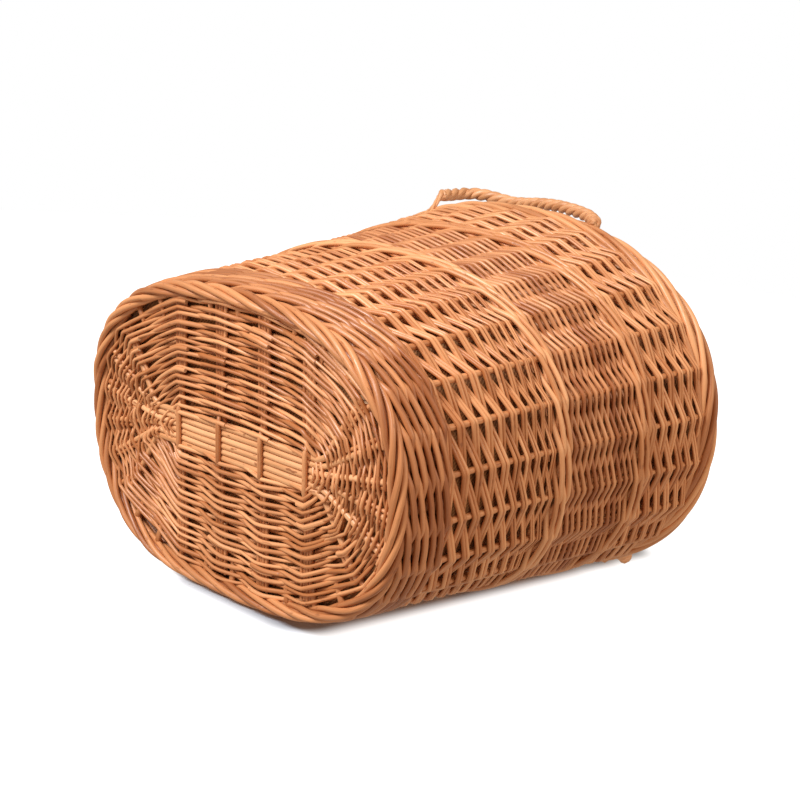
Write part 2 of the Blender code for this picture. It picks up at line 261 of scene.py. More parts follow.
def addNode(tree, kind, inputs, **fields):
    node = tree.nodes.new("ShaderNode" + kind)
    for field, value in fields.items():
        setattr(node, field, value)
    return feed(tree, node, inputs)


def maths(tree, operation, first, second, clamp=False):
    return addNode(tree, "Math", {0: first, 1: second}, operation=operation,
                   use_clamp=clamp).outputs["Value"]


def mixColours(tree, factor, first, second, blend="MIX"):
    return addNode(tree, "Mix", {"Factor": factor, "A": first, "B": second},
                   data_type="RGBA", blend_type=blend).outputs["Result"]


def mixValues(tree, factor, first, second):
    return addNode(tree, "Mix", {"Factor": factor, "A": first, "B": second},
                   data_type="FLOAT").outputs["Result"]


def ranged(tree, value, low, high, toLow, toHigh, kind="LINEAR"):
    ends = {"Value": value, "From Min": low, "From Max": high, "To Min": toLow, "To Max": toHigh}
    return addNode(tree, "MapRange", ends, interpolation_type=kind).outputs["Result"]


def noiseFrom(tree, vector, scale, **more):
    return addNode(tree, "TexNoise", {"Vector": vector, "Scale": scale, **more}).outputs["Fac"]


def newFinish(name):
    finish = bpy.data.materials.new(name)
    finish.use_nodes = True
    return finish, finish.node_tree, finish.node_tree.nodes["Principled BSDF"]


# Noises give their scale across and along the rod, detail and roughness
willowBark = {
    "fibres": ((1500, 1500, 45), 3.0, 0.6),
    "drift": ((260, 260, 16), 2.0, 0.55),
    "slow": ((8, 8, 7), 1.0, 0.5),
    "scars": ((420, 420, 120), 1.0, 0.5),  # bud scars and rubbed marks
    "evenly": (0.3, 0.7, -0.5, 0.5), "rarely": (0.68, 0.74, 0.0, 1.0),
    "fibreShare": 0.5, "driftShare": 0.45, "slowShare": 0.35,
    "patchScale": 9.0, "patchEnds": (0.35, 0.65, 0.0, 0.22),
    "patchTint": (1.0, 0.78, 0.62, 1), "scarTint": (0.45, 0.3, 0.2, 1),
    "dullShare": 0.22, "ridges": 0.6, "bumps": 0.8, "pits": -0.8,
    "relief": 0.0003, "reliefShare": 0.5, "specular": 0.75,
}


def buildWillowGroup():
    group = bpy.data.node_groups.new("willowBark", "ShaderNodeTree")
    for name, kind, value in (
        ("Pale", "Color", (0.8, 0.5, 0.25, 1)), ("Deep", "Color", (0.4, 0.2, 0.08, 1)),
        ("Spread", "Float", 0.5), ("Scars", "Float", 0.5), ("Rough", "Float", 0.5),
    ):
        socket = group.interface.new_socket(name, in_out="INPUT", socket_type="NodeSocket" + kind)
        socket.default_value = value
    for name, kind in (("Color", "Color"), ("Roughness", "Float"), ("Height", "Float")):
        group.interface.new_socket(name, in_out="OUTPUT", socket_type="NodeSocket" + kind)
    given = group.nodes.new("NodeGroupInput").outputs
    grain = addNode(group, "Attribute", {}, attribute_name="grain").outputs["Vector"]
    rodTone = addNode(group, "Attribute", {}, attribute_name="rodTone").outputs["Fac"]

    def times(first, second):
        return maths(group, "MULTIPLY", first, second)

    def plus(first, second, clamp=False):
        return maths(group, "ADD", first, second, clamp)

    def along(key, ends):
        scale, detail, roughness = willowBark[key]
        scaled = addNode(group, "VectorMath", {0: grain, 1: scale}, operation="MULTIPLY")
        spots = noiseFrom(group, scaled.outputs["Vector"], 1.0, Detail=detail,
                          Roughness=roughness)
        return ranged(group, spots, *willowBark[ends])

    fibres, drift, slow = (along(key, "evenly") for key in ("fibres", "drift", "slow"))
    scars = along("scars", "rarely")
    own = plus(times(maths(group, "SUBTRACT", rodTone, 0.5), given["Spread"]),
               times(fibres, willowBark["fibreShare"]))
    shared = plus(times(drift, willowBark["driftShare"]), times(slow, willowBark["slowShare"]))
    depth = plus(plus(own, shared), 0.5, clamp=True)
    colour = mixColours(group, depth, given["Pale"], given["Deep"])
    place = addNode(group, "TexCoord", {}).outputs["Object"]
    patches = noiseFrom(group, place, willowBark["patchScale"], Detail=2.0)
    warm = ranged(group, patches, *willowBark["patchEnds"])
    colour = mixColours(group, warm, colour, willowBark["patchTint"], "MULTIPLY")
    colour = mixColours(group, times(scars, given["Scars"]), colour, willowBark["scarTint"],
                        "MULTIPLY")
    rough = plus(times(fibres, willowBark["dullShare"]), given["Rough"], clamp=True)
    height = plus(plus(times(fibres, willowBark["ridges"]), times(drift, willowBark["bumps"])),
                  times(scars, willowBark["pits"]))
    feed(group, group.nodes.new("NodeGroupOutput"),
         {"Color": colour, "Roughness": rough, "Height": height})
    return group


willowGroup = buildWillowGroup()


def willow(name, pale, deep, spread, scars=0.5, rough=0.44):
    finish, tree, shader = newFinish(name)
    bark = addNode(tree, "Group", {"Pale": (*pale, 1), "Deep": (*deep, 1), "Spread": spread,
                                   "Scars": scars, "Rough": rough},
                   node_tree=willowGroup).outputs
    bump = addNode(tree, "Bump", {"Strength": willowBark["reliefShare"],
                                  "Distance": willowBark["relief"], "Height": bark["Height"]})
    feed(tree, shader, {"Base Color": bark["Color"], "Roughness": bark["Roughness"],
                        "Normal": bump.outputs["Normal"],
                        "Specular IOR Level": willowBark["specular"]})
    return finish


# Pale colour, deep colour, how far rods differ, then scars and roughness where not plain
willowKinds = {
    "Siding": ((0.84, 0.420, 0.190), (0.48, 0.165, 0.045), 0.8),
    "Middle": ((0.74, 0.345, 0.150), (0.39, 0.122, 0.032), 0.9),
    "Base": ((0.82, 0.400, 0.180), (0.45, 0.155, 0.042), 0.9),
    "Wale": ((0.84, 0.430, 0.200), (0.52, 0.195, 0.060), 0.7),
    "Border": ((0.80, 0.395, 0.175), (0.40, 0.130, 0.034), 1.2),
    # Foot: darker than the other willow, as painted shade on the downward-facing foot ring; the
    # upsett takes these colours too
    "Foot": ((0.68, 0.300, 0.120), (0.35, 0.108, 0.026), 1.1),
    "Stake": ((0.78, 0.375, 0.165), (0.44, 0.150, 0.042), 0.6),
    "Slat": ((0.86, 0.470, 0.235), (0.56, 0.240, 0.085), 0.8, 0.9),
    "Handle": ((0.78, 0.410, 0.200), (0.46, 0.185, 0.062), 0.6),
    "Cut": ((0.86, 0.620, 0.400), (0.60, 0.330, 0.165), 0.8, 0.2, 0.7),
}
willows = {kind: willow("willow" + kind, *values) for kind, values in willowKinds.items()}
print("stage: finishes made")

# Siding: one weaver to a stake, each before one stake and behind the next, row on row
sidingZones = {
    "lowerSiding": {
        "rows": [0.0458, 0.0582, 0.0703, 0.0818, 0.0934, 0.1043, 0.1142, 0.1234, 0.1315, 0.1382],
        "lanes": 2, "radius": 0.00150, "fill": 0.128,
        "nodes": [f"lower_siding_{n}" for n in range(1, 5)],
        "slot": "siding", "finish": "Siding", "seed": 11,
    },
    "middleSiding": {
        "rows": [0.1586 + 0.00607 * n for n in range(11)],
        "lanes": 1, "radius": 0.00150, "fill": 0.245,
        "nodes": [f"middle_siding_{n}" for n in range(1, 4)],
        "slot": "dark_siding", "finish": "Middle", "seed": 23,
    },
    "upperSiding": {
        "rows": [0.2388, 0.2500, 0.2614, 0.2725, 0.2830, 0.2918],
        "lanes": 2, "radius": 0.00150, "fill": 0.130,
        "nodes": [f"upper_siding_{n}" for n in range(1, 4)],
        "slot": "siding", "finish": "Siding", "seed": 37,
    },
}
weaverPlan = {
    "laneLate": 0.12, "laneApart": 1.03, "runOn": 0.25, "tuck": 0.0010, "rowEnds": (0.5, 0.45),
    "sizes": (0.93, 1.05), "butt": 1.09, "taper": 0.20, "waver": (7.0, 0.00035),
    "sway": (5.0, 0.0002),
}


def climbRows(place, first, rows):
    # a weaver climbs half a row from each stake to the next, so behind it lies between rows
    rows = np.array(rows)
    below, above = weaverPlan["rowEnds"]
    ends = [rows[0] - below * (rows[1] - rows[0]), rows[-1] + above * (rows[-1] - rows[-2])]
    levels = np.sort(np.concatenate([rows, (rows[:-1] + rows[1:]) / 2, ends]))
    return np.interp(place, first + np.arange(-1, len(levels) - 1), levels)


def weaveSiding(name, zone):
    plan = weaverPlan
    dice = random.Random(zone["seed"])
    rows = zone["rows"]
    reach = 2 * len(rows) - 1
    pitches = np.gradient(np.array(rows))
    runOn, late = plan["runOn"], plan["laneLate"]
    rods = []
    for stake in range(basket["stakes"]):
        for lane in range(zone["lanes"]):
            butt, tip = stake - 1 + late * lane, stake + reach - late * lane
            place = stepAlong(butt - runOn, tip + runOn)
            share = np.clip((place - butt) / (tip - butt), 0, 1)
            pitch = np.interp(place, stake + 2 * np.arange(len(rows)), pitches)
            full = np.minimum(zone["radius"], zone["fill"] * pitch)
            full = full * dice.uniform(*plan["sizes"])
            height = climbRows(place, stake, rows)
            side = 0 if zone["lanes"] == 1 else (2 * lane - 1)
            height = height + side * plan["laneApart"] * full
            height = height + wobble(place, dice, *plan["waver"])
            out = passStakes(place, stake) * (basket["stakeRadius"] + full)
            out = out + wobble(place, dice, *plan["sway"])
            for past in (butt - place, place - tip):
                out = out - tuckEnd(past, runOn, plan["tuck"])
            radius = full * (plan["butt"] - plan["taper"] * share)
            rods.append((besideStakes(place, height, out), radius))
    piece = bindRods(name, rods, willows[zone["finish"]], dice)
    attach(piece, "root")
    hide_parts(*zone["nodes"])


for zoneName, zone in sidingZones.items():
    weaveSiding(zoneName, zone)

# Waling: three rods, each outside two stakes and inside one
waleBands = {
    "upsett": {"rows": [0.0150, 0.0218, 0.0286, 0.0353, 0.0416], "radius": 0.0021, "seed": 41,
               # the upsett takes the foot's darker colours, which are painted shade
               "nodes": ["upsett_wale"], "finish": "Foot", "bulge": 0.0008, "slant": 1.6},
    "lowerWaling": {"rows": [0.1455, 0.1517], "radius": 0.0020, "seed": 43,
                    "nodes": ["lower_wale"], "finish": "Wale", "bulge": 0.0010, "slant": 1.1},
    "upperWaling": {"rows": [0.2257, 0.2320], "radius": 0.0019, "seed": 47,
                    "nodes": ["upper_wale"], "finish": "Wale", "bulge": 0.0010, "slant": 1.1},
}
waleTwist = {
    "strands": 3, "rise": np.array([0.0, -1.0, -0.7, 0.1, 0.75, 0.7, 0.0]),
    "soften": (-0.14, -0.07, 0.0, 0.07, 0.14), "waver": (7.0, 0.0004),
    "butt": 1.08, "taper": 0.16, "runOn": 0.3, "tuck": 0.003,
}


def waleTurn(place, strand, table):
    # a table of seven values, half a stake apart, repeated at every third stake
    strands, soften = waleTwist["strands"], waleTwist["soften"]
    total = 0
    for shift in soften:
        total = total + np.interp((place - strand + shift) % strands, np.arange(7) / 2, table)
    return total / len(soften)


def weaveWale(name, band):
    dice = random.Random(band["seed"])
    radius, runOn, strands = band["radius"], waleTwist["runOn"], waleTwist["strands"]
    reach = basket["stakeRadius"] + radius
    outTable = [-reach, 0.0, reach, reach + band["bulge"], reach, 0.0, -reach]
    upTable = radius * waleTwist["rise"]
    rods = []
    for level in band["rows"]:
        for strand in range(strands):
            begin = strand + strands * dice.randint(0, basket["stakes"] // strands - 1)
            place = stepAlong(begin - runOn, begin + basket["stakes"] + runOn)
            height = level + band["slant"] * waleTurn(place, strand, upTable)
            height = height + wobble(place, dice, *waleTwist["waver"])
            share = (place - place[0]) / (place[-1] - place[0])
            thickness = radius * (waleTwist["butt"] - waleTwist["taper"] * share)
            out = waleTurn(place, strand, outTable)
            out = out - tuckEnd(begin - place, runOn, waleTwist["tuck"])
            rods.append((besideStakes(place, height, out), thickness))
    piece = bindRods(name, rods, willows[band["finish"]], dice)
    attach(piece, "root")
    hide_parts(*band["nodes"])


for bandName, band in waleBands.items():
    weaveWale(bandName, band)

# Foot: a rope of thick rods round the edge of the base
footRope = {
    "strands": 5, "radius": 0.00220, "inset": 0.0063, "level": 0.0070, "deep": 0.0040,
    "high": 0.0047, "turns": 7, "core": 0.0026, "overlap": 0.8, "points": 420,
    "swellPeriod": 4.0, "swellTurn": 0.15, "swellHigh": 0.06, "butt": 1.10, "taper": 0.16,
    "lumps": (5.0, 0.06), "seed": 53,
}
hoopPlace = np.linspace(0, basket["stakes"], 241)


def ropeRound(place, level, inset, aside, upwards):
    flat, out = onWall(stakeShare(place), level, inset)
    flat = flat + out * np.broadcast_to(aside, len(place))[:, None]
    return np.column_stack([flat, level + np.broadcast_to(upwards, len(place))])


def coreHoop(level, inset, aside, radius):
    # a plain ring within the rolled rods, which closes the view between them
    return ropeRound(hoopPlace, level, inset, aside, 0.0), np.full(len(hoopPlace), radius)


def twistFoot():
    plan = footRope
    dice = random.Random(plan["seed"])
    strands, level, inset = plan["strands"], plan["level"], plan["inset"]
    lap = basket["stakes"] + plan["overlap"]
    rods = []
    for strand in range(strands):
        begin = dice.uniform(0, basket["stakes"])
        place = np.linspace(begin, begin + lap, plan["points"])
        swell = wobble(place, dice, plan["swellPeriod"])
        turned = place / basket["stakes"] * plan["turns"] + strand / strands
        angle = -math.tau * turned + plan["swellTurn"] * swell
        upwards = plan["high"] * (1 + plan["swellHigh"] * swell) * np.sin(angle)
        points = ropeRound(place, level, inset, plan["deep"] * np.cos(angle), upwards)
        share = (place - begin) / lap
        thickness = plan["radius"] * (plan["butt"] - plan["taper"] * share
                                      + wobble(place, dice, *plan["lumps"]))
        points[:, 2] = np.maximum(points[:, 2], thickness)
        rods.append((points, thickness))
    rods.append(coreHoop(level, inset, 0.0, plan["core"]))
    piece = bindRods("footRope", rods, willows["Foot"], dice, sides=10)
    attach(piece, "root")
    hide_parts("foot_wale")


twistFoot()

# Stakes: their butts lie in the base and turn up round the foot
stakePlan = {
    "top": 0.3015, "tail": 0.009, "tailLift": 0.001, "bend": 0.012, "turnInset": 0.01285,
    "turnRadius": 0.00785, "wallInset": 0.005, "knuckle": 0.0004, "held": -0.0003,
    "taper": (1.06, 0.93), "seed": 59,
}


def stakeKnuckles():
    # a stake stands out between two rows and is held in under each
    levels = []
    for zone in sidingZones.values():
        rows = np.array(zone["rows"])
        levels += [(z, stakePlan["held"]) for z in rows]
        levels += [(z, stakePlan["knuckle"] * zone["lanes"]) for z in (rows[:-1] + rows[1:]) / 2]
    return sorted(levels) + [(stakePlan["top"], 0.0)]


def raiseStakes():
    dice = random.Random(stakePlan["seed"])
    low, turnInset, inset = basket["stickLevel"], stakePlan["turnInset"], basket["stakeInset"]
    knee = stakePlan["turnRadius"] * math.tan(math.pi / 8)
    rise = basket["footLevel"] + stakePlan["turnRadius"]
    route = [(low + stakePlan["tailLift"], turnInset + stakePlan["tail"]),
             (low, turnInset + stakePlan["bend"]), (low, turnInset),
             (rise, stakePlan["wallInset"] + knee), (rise + knee, inset)]
    route += [(z, inset - push) for z, push in stakeKnuckles()]
    heights, insets = np.array(route).T
    rods = []
    for number in range(basket["stakes"]):
        flat, _ = onWall(stakeShare(number), heights, insets)
        points = np.column_stack([flat, heights])
        taper = np.linspace(*stakePlan["taper"], len(points))
        rods.append((points, taper * basket["stakeRadius"]))
    piece = bindRods("stakes", rods, willows["Stake"], dice)
    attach(piece, "root")
    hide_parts(*[f"stake_{n:02d}" for n in range(1, 31)])


raiseStakes()

# Border: each stake rolls over its neighbours, from low outside to the inside
borderRoll = {
    "level": 0.3050, "inset": 0.0064, "deep": 0.0039, "high": 0.0076, "radius": 0.00255,
    "length": 4.1, "angles": (-105.0, 165.0), "square": 0.90, "points": 34,
    "waver": (3.0, 0.0007), "sizes": (0.92, 1.05), "butt": 1.06, "taper": 0.30,
    "core": (0.2942, 0.2990, 0.3037, 0.3084), "coreRadius": 0.0025, "coreWaver": (30.0, 0.0002),
    "seed": 61,
}


def rollBorder():
    plan = borderRoll
    dice = random.Random(plan["seed"])
    inset, square = plan["inset"], plan["square"]
    start, end = plan["angles"]
    along = np.linspace(0, 1, plan["points"])
    angle = np.radians(start + along * (end - start))
    aside = plan["deep"] * squared(np.cos(angle), square)
    upwards = plan["high"] * squared(np.sin(angle), square)
    rods = []
    for number in range(basket["stakes"]):
        place = number - along * plan["length"]
        lifted = upwards + wobble(place, dice, *plan["waver"])
        points = ropeRound(place, plan["level"], inset, aside, lifted)
        thickness = plan["radius"] * dice.uniform(*plan["sizes"])
        rods.append((points, thickness * (plan["butt"] - plan["taper"] * along)))
    for height in plan["core"]:
        aside = wobble(hoopPlace, dice, *plan["coreWaver"])
        rods.append(coreHoop(height, inset, aside, plan["coreRadius"]))
    piece = bindRods("borderRoll", rods, willows["Border"], dice, sides=10)
    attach(piece, "root")
    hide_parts("border")


rollBorder()

# Base: slats through split cross sticks, then rows of pairing round all the stick ends
basePlan = {
    "slats": 6, "slatPitch": 0.0046, "slatRadius": 0.00222, "slatFlat": 0.90, "fan": 0.124,
    "straight": 0.1820, "crossAt": [0.0079 + (n - 1.5) * 0.0458 for n in range(4)],
    "crossRadius": 0.0019, "halfRadius": 0.0014, "window": 0.0138, "shoulder": 0.0175,
    "shoulderRun": 0.004, "crossOpen": 0.0033, "crossBend": 0.6, "overrun": 0.010,
    "edgeInset": 0.02395, "raftEnds": (-0.0712, 0.0870), "firstRow": 0.0165,
    "stickStep": 0.008, "stickLift": (0.11, 0.0002),
    "stickSway": ((0.09, 0.0003), (0.10, 0.0003)), "stickSizes": (0.94, 1.06),
    "tailRadius": 0.0015, "tailGap": 0.0002, "crossTail": (0.035, 0.072),
    "slatTail": (0.025, 0.040), "seed": 67,
}


def baseReach(across, sizeAcross, sizeAlong):
    halfAcross = sizeAcross / 2 - basePlan["edgeInset"]
    halfAlong = sizeAlong / 2 - basePlan["edgeInset"]
    share = 1 - abs(across / halfAcross) ** basket["foot"][2]
    return halfAlong * share ** (1 / basket["foot"][2])


def crossTip(x):
    return baseReach(x, basket["foot"][0], basket["foot"][1]) + basePlan["overrun"]


def slatLines():
    # each slat's place in the middle, its place at the ends, and how far it reaches
    lines = []
    for number in range(basePlan["slats"]):
        part = number / (basePlan["slats"] - 1) - 0.5
        middle = part * basePlan["slatPitch"] * (basePlan["slats"] - 1)
        end = part * basePlan["fan"]
        reach = baseReach(end, basket["foot"][1], basket["foot"][0]) + basePlan["overrun"]
        lines.append((middle, end, reach))
    return lines


def stickRod(path, radius, dice):
    path = np.array(path, float)
    run = runAlong(path)
    fine = np.linspace(0, run[-1], max(4, int(run[-1] / basePlan["stickStep"])))
    points = np.column_stack([np.interp(fine, run, path[:, axis]) for axis in (0, 1)])
    height = basket["stickLevel"] + wobble(fine, dice, *basePlan["stickLift"])
    for axis in (0, 1):
        points[:, axis] += wobble(fine, dice, *basePlan["stickSway"][axis])
    thickness = radius * dice.uniform(*basePlan["stickSizes"])
    return np.column_stack([points, height]), np.full(len(fine), thickness)


def spokePaths():
    # each base stick from the edge of the middle raft to the foot
    paths = []
    half = basePlan["straight"] / 2
    for middle, end, reach in slatLines():
        for raftEnd in basePlan["raftEnds"]:
            side = math.copysign(1.0, raftEnd)
            path = [(raftEnd, middle), (side * half, middle), (side * reach, end)]
            paths.append((path, False))
    for x in basePlan["crossAt"]:
        for side in (-1, 1):
            paths.append(([(x, side * basePlan["firstRow"]), (x, side * crossTip(x))], True))
    return paths


def laySlats(dice):
    half = basePlan["straight"] / 2
    slats = []
    for middle, end, reach in slatLines():
        path = [(-reach, end), (-half, middle), (half, middle), (reach, end)]
        slats.append(stickRod(path, basePlan["slatRadius"], dice))
    piece = bindRods("slats", slats, willows["Slat"], dice, sides=12)
    bpy.context.view_layer.objects.active = piece
    bpy.ops.object.mode_set(mode="EDIT")
    bpy.ops.mesh.select_all(action="SELECT")
    bpy.ops.transform.resize(value=(1, 1, basePlan["slatFlat"]),
                             center_override=(0, 0, basket["stickLevel"]))
    bpy.ops.object.mode_set(mode="OBJECT")
    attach(piece, "root")
    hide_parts(*[f"base_slat_{n}" for n in range(1, 7)])


def layCrossSticks(dice):
    # each stick is split open where the slats pass through it
    window, shoulder, bend = basePlan["window"], basePlan["shoulder"], basePlan["crossBend"]
    closed, halfRadius = shoulder + basePlan["shoulderRun"], basePlan["halfRadius"]
    halves = []
    for x in basePlan["crossAt"]:
        tip = crossTip(x)
        side = np.array([window * 0.5, window, shoulder, closed, tip * bend, tip])
        y = np.concatenate([-side[::-1], [0.0], side])
        spread, beside, radius = (np.interp(np.abs(y), [window, closed], ends) for ends in (
            [basePlan["crossOpen"], 0.0], [0.0, halfRadius],
            [basePlan["crossRadius"], halfRadius]))
        for side in (-1, 1):
            points = np.column_stack([x + side * beside, y,
                                      basket["stickLevel"] + side * spread])
            halves.append((points, radius))
    piece = bindRods("crossSticks", halves, willows["Stake"], dice)
    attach(piece, "root")
    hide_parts(*[f"base_cross_stick_{n}" for n in range(1, 5)])


def layStakeTails(dice):
    tails = []
    for path, isCross in spokePaths():
        path = np.array(path)
        along = path[-1] - path[-2]
        along /= np.linalg.norm(along)
        across = np.array([-along[1], along[0]])
        gap = 2 * basePlan["halfRadius"] if isCross else basePlan["slatRadius"]
        for side in ((-1, 1) if isCross else (dice.choice((-1, 1)),)):
            offset = across * side * (basePlan["tailRadius"] + gap + basePlan["tailGap"])
            length = dice.uniform(*basePlan["crossTail" if isCross else "slatTail"])
            start = path[-1] - along * length + offset
            tails.append(stickRod([start, path[-1] + offset], basePlan["tailRadius"], dice))
    piece = bindRods("stakeTails", tails, willows["Stake"], dice)
    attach(piece, "root")


stickDice = random.Random(basePlan["seed"])
laySlats(stickDice)
layCrossSticks(stickDice)
layStakeTails(stickDice)

# Base weaving: rows of two rods, which twist between the sticks
pairing = {
    "rows": 16, "radius": 0.00150, "rowStart": (-0.0700, 0.0825, 0.01235),
    "rowEnd": (-0.1576, 0.1576, 0.1035), "square": (2.5, 1.6), "ringSteps": 2401,
    "groups": ((3, 6), (9, 2)), "slatSide": 0.06, "slatWide": 0.0030, "tightRows": 3,
    "crossWide": (0.0034, 0.0058), "loose": (0.2, 8), "looseShare": 0.2, "looseMost": 0.0032,
    "wideShare": 0.32, "leanEnds": (0.12, 0.34), "leanShare": 0.9,
    "laps": (3, 6), "shortRow": 12, "leastLap": 5, "runOn": (0.24, 0.20),
    "steps": (0.0, 0.09, 0.18, 0.28, 0.4, 0.5, 0.6, 0.72, 0.82, 0.91),
    "early": 0.16, "strong": (0.6, 1.35),
    "sag": [0.0, 0.0, -0.02, -0.20, -0.40, -0.53, -0.50, -0.26, 0.0],
    "joinSag": 0.26, "joinRun": 0.8, "endFrom": 0.80, "endSpan": 0.12, "endSag": 0.30,
    "endThin": 0.22, "sagWaver": (4.0, 0.14), "lift": (3.0, 0.0003), "sizes": (0.86, 1.10),
    "butt": 1.17, "taper": 0.34, "chord": 0.7, "swing": 1.2, "clear": 1.05,
}


def basePoint(row, turn):
    # rows are ovals that grow from round the slats to the foot
    part = (row + 0.5) / pairing["rows"]
    low, high, wide = (between(*ends, part)
                       for ends in zip(pairing["rowStart"], pairing["rowEnd"]))
    last, more = pairing["square"]
    power = 2 / (last + more * np.clip(1 - part, 0, 1) ** 2)
    x = (low + high) / 2 + (high - low) / 2 * squared(np.cos(turn), power)
    flat = np.stack([x, wide * squared(np.sin(turn), power)], -1)
    grown = swellAt(turn / math.tau, 0.0) * part ** 2 / np.linalg.norm(flat, axis=-1)
    return flat * (1 + grown)[..., None]


def rowCrossings(row):
    # where a row passes over sticks: the run round the row and half the width of the sticks
    turns = np.linspace(0, math.tau, pairing["ringSteps"])
    ring = basePoint(np.full(len(turns), float(row)), turns)
    run = runAlong(ring)
    group = next((size for end, size in pairing["groups"] if row < end), 1)
    half = basePlan["straight"] / 2
    lines = slatLines()
    crossings = []

    def meet(offset, chosen):
        change = np.flatnonzero((offset[:-1] <= 0) != (offset[1:] <= 0))
        return [run[n] for n in change if chosen(ring[n])]

    for first in range(0, basePlan["slats"], group):
        ways = [np.interp(np.abs(ring[:, 0]), [half, reach], [middle, end])
                for middle, end, reach in lines[first:first + group]]
        for side in (-1, 1):
            offset = ring[:, 1] - np.mean(ways, axis=0)
            for place in meet(offset, lambda point: point[0] * side > pairing["slatSide"]):
                spread = np.interp(place, run, ways[-1] - ways[0]) / 2
                crossings.append((place, spread + pairing["slatWide"]))
    for x in basePlan["crossAt"]:
        for side in (-1, 1):
            for place in meet(ring[:, 0] - x, lambda point: point[1] * side > 0):
                crossings.append((place, pairing["crossWide"][row > pairing["tightRows"]]))
    return turns, run, sorted(crossings)


def stickRuns(row, dice):
    # the runs round a row at which its strands come to each stick and leave it
    plan = pairing
    turns, run, crossings = rowCrossings(row)
    count, around = len(crossings), run[-1]
    gaps = np.diff([place for place, _ in crossings] + [crossings[0][0] + around])
    least, slow = plan["loose"]
    loose, share = min(1, least + row / slow), plan["looseShare"]
    crossings = [(place + loose * dice.uniform(-1, 1)
                  * min(share * gaps[n - 1], share * gaps[n], plan["looseMost"]), wide)
                 for n, (place, wide) in enumerate(crossings)]
    leanLow, leanHigh = plan["leanEnds"]
    phases, runs = [], []
    for number in range(-count, 2 * count):
        lap = around * (number // count)
        here, wide = crossings[number % count]
        after = crossings[(number + 1) % count][0] + around * ((number + 1) // count) - lap
        before = crossings[(number - 1) % count][0] + around * ((number - 1) // count) - lap
        gap = min(after - here, here - before)
        wide = min(wide, plan["wideShare"] * gap)
        lean = min(leanHigh, max(leanLow, plan["leanShare"] * wide / gap))
        phases += [number - lean, number + lean]
        runs += [lap + here - wide, lap + here + wide]
    return count, (turns, run, phases, runs)


def pairRod(row, begin, lap, reach, way, dice):
    # one rod of a pair, which lies over one stick and under the next
    plan = pairing
    turns, run, phases, runs = way
    past, onward = plan["runOn"]
    place = stepAlong(begin - lap - reach - past, begin - lap + onward, plan["steps"])[::-1]
    far = begin - place
    knots = range(-1, lap + reach + 2)
    early = np.interp(far, knots, [dice.uniform(-plan["early"], plan["early"]) for _ in knots])
    strong = np.array([dice.uniform(*plan["strong"]) for _ in knots])
    sag = np.interp((far + early) % 2.0, np.arange(9) / 4, plan["sag"])
    sag = sag * np.interp(far, knots, strong)
    share = np.clip((far - lap) / reach, 0, 1)
    sag = sag - plan["joinSag"] * np.clip(1 - (far - lap) / plan["joinRun"], 0, 1) * (lap > 0)
    along = np.interp(place, phases, runs)
    turn = np.interp(along % run[-1], run, turns)
    end = np.clip((np.abs(np.cos(turn)) - plan["endFrom"]) / plan["endSpan"], 0, 1)
    sag = sag * (1 - plan["endSag"] * end) + wobble(place, dice, *plan["sagWaver"])
    radius = (plan["radius"] * dice.uniform(*plan["sizes"])
              * (plan["butt"] - plan["taper"] * share) * (1 - plan["endThin"] * end))
    lastWay, nextWay = (np.interp(np.floor(place) + n, phases, runs) for n in (0, 1))
    lastTurn, nextTurn = (np.interp(w % run[-1], run, turns) for w in (lastWay, nextWay))
    part = ((along - lastWay) / (nextWay - lastWay))[:, None]
    bent, last, following = (basePoint(row + sag, at) for at in (turn, lastTurn, nextTurn))
    flat = between(bent, between(last, following, part), plan["chord"])
    swing = np.clip(plan["swing"] * passStakes(far, 0), -1, 1)
    height = basket["stickLevel"] - swing * (basePlan["tailRadius"] + plan["clear"] * radius)
    height = height + wobble(place, dice, *plan["lift"])
    return np.column_stack([flat, height]), radius


def weaveBase():
    dice = random.Random(basePlan["seed"] + 1)
    rods = []
    for row in range(pairing["rows"]):
        count, way = stickRuns(row, dice)
        for strand in (0, 1):
            begin = 2 * dice.randint(0, count // 2 - 1) + strand + count
            lap = 0
            while lap < count:
                reach = 2 * dice.randint(*pairing["laps"]) if count > pairing["shortRow"] else count
                if count - lap - reach < pairing["leastLap"]:
                    reach = count - lap
                rods.append(pairRod(row, begin, lap, reach, way, dice))
                lap += reach
    piece = bindRods("baseWeave", rods, willows["Base"], dice)
    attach(piece, "root")
    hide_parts("base_weave_under", "base_weave_over")


weaveBase()

# Lining: a cloth bag behind the weaving
liningPlan = {
    "inset": 0.0114, "clear": 0.0003, "bottom": 0.0144, "top": 0.3085, "thickness": 0.0010,
    "hem": 0.0024, "hemFrom": 0.294, "hemSpan": 0.008, "around": 480, "upwards": 72,
    "across": 26, "folds": (0.0005, 30, 3), "waves": (0.0004, 11, 9), "sag": (0.0004, 60, 70),
    "cloth": (1.05, 0.29),  # its girth and height, for the weave
    "threads": 190.0, "fuzz": 900.0, "patches": 14.0, "fuzzShare": 0.45,
    "dark": (0.2, (0.300, 0.120, 0.038, 1)), "pale": (0.85, (0.580, 0.290, 0.125, 1)),
    "aged": (0.85, 0.78, 0.72, 1), "relief": 0.0003,
}


